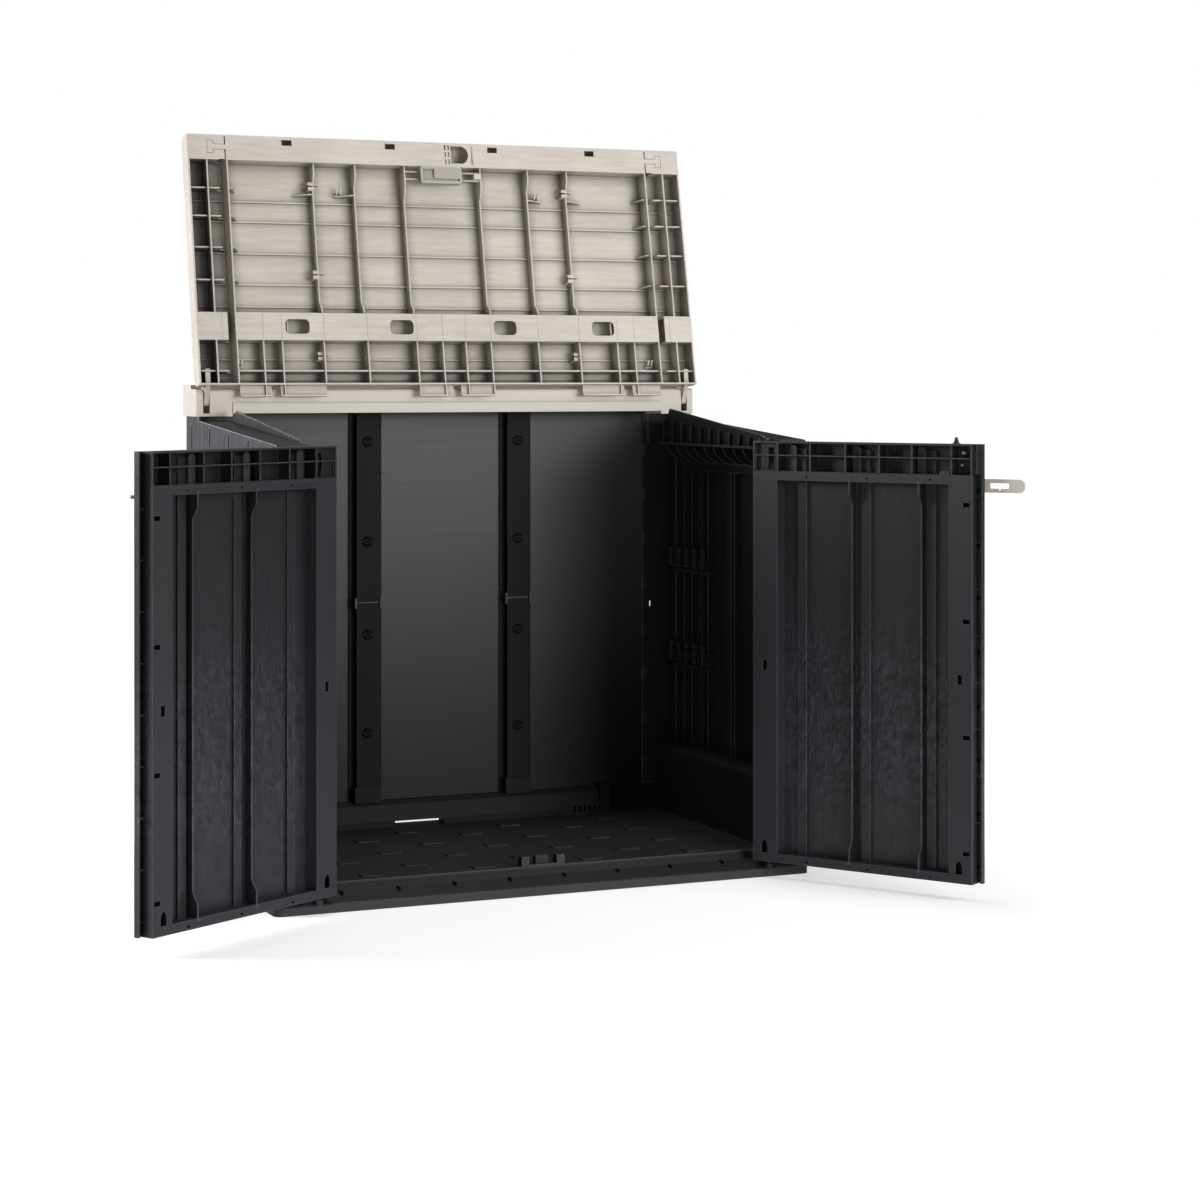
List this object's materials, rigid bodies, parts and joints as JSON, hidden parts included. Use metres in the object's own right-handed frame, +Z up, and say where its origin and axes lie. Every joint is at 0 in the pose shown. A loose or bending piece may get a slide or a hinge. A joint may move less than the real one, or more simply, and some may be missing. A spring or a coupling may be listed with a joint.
{
  "type": "garden storage box",
  "caption": "Resin garden storage box with double plank doors, a lifting ribbed lid hinged on a rear beam, and a padlock hasp; doors and lid stand open.",
  "frame": {"origin": "centre of the base on the ground", "axes": "+Z up, +X to the right seen from the front, -Y to the front where the doors are"},
  "size_m": [1.9239, 1.28, 1.7365],
  "materials": {
    "black_resin": "moulded, faint wood grain",
    "beige_resin": "moulded, satin",
    "back_sheet": "smooth twin-wall sheet",
    "grey_resin": "satin",
    "strap_resin": "satin",
    "steel": "zinc plated, black on the posts",
    "hasp_black": "moulded"
  },
  "bodies": {
    "carcass": {"base_floor": "black_resin", "side_panel_left": "black_resin", "side_panel_right": "black_resin", "back_sheet_left": "back_sheet", "back_sheet_centre": "back_sheet", "back_sheet_right": "back_sheet", "back_post_left_lower": "black_resin", "back_post_left_upper": "black_resin", "back_post_right_lower": "black_resin", "back_post_right_upper": "black_resin", "back_bottom_rail": "black_resin", "rear_beam": "beige_resin", "beam_end_cap_left": "beige_resin", "beam_end_cap_right": "beige_resin", "lid_hinge_pins": "steel", "post_screws": "steel"},
    "lid": {"lid_panel": "beige_resin", "lid_cheek_left": "beige_resin", "lid_cheek_right": "beige_resin", "lid_latch_housing": "grey_resin"},
    "latch": {"lid_latch_catch": "grey_resin"},
    "door_left": {"door_left_panel": "black_resin", "door_left_frame": "black_resin", "door_left_pins": "steel", "hasp_staple": "hasp_black"},
    "door_right": {"door_right_panel": "black_resin", "door_right_frame": "black_resin", "door_right_pins": "steel", "door_right_peg": "black_resin", "door_right_end_cap": "black_resin", "hasp_bracket": "hasp_black", "hasp_pin": "steel", "hasp_screws": "steel"},
    "hasp": {"hasp_strap": "strap_resin"}
  },
  "joints": [
    {"name": "lid_hinge", "type": "hinge", "parent": "carcass", "child": "lid", "pos_m": [0, 0.2625, 1.098], "axis": [1, 0, 0], "range_deg": [0, 105.2]},
    {"name": "door_left_hinge", "type": "hinge", "parent": "carcass", "child": "door_left", "pos_m": [-0.5467, -0.3583, 0], "axis": [0, 0, 1], "range_deg": [0, 149.45]},
    {"name": "door_right_hinge", "type": "hinge", "parent": "carcass", "child": "door_right", "pos_m": [0.5467, -0.3583, 0], "axis": [0, 0, 1], "range_deg": [-122.2, 27]},
    {"name": "hasp_hinge", "type": "hinge", "parent": "door_right", "child": "hasp", "pos_m": [0.84286, -0.79932, 0.916], "axis": [0, 0, 1], "range_deg": [0, 160]},
    {"name": "latch_slide", "type": "slide", "parent": "lid", "child": "latch", "axis": [1, 0, 0], "range_m": [-0.02, 0]}
  ]
}
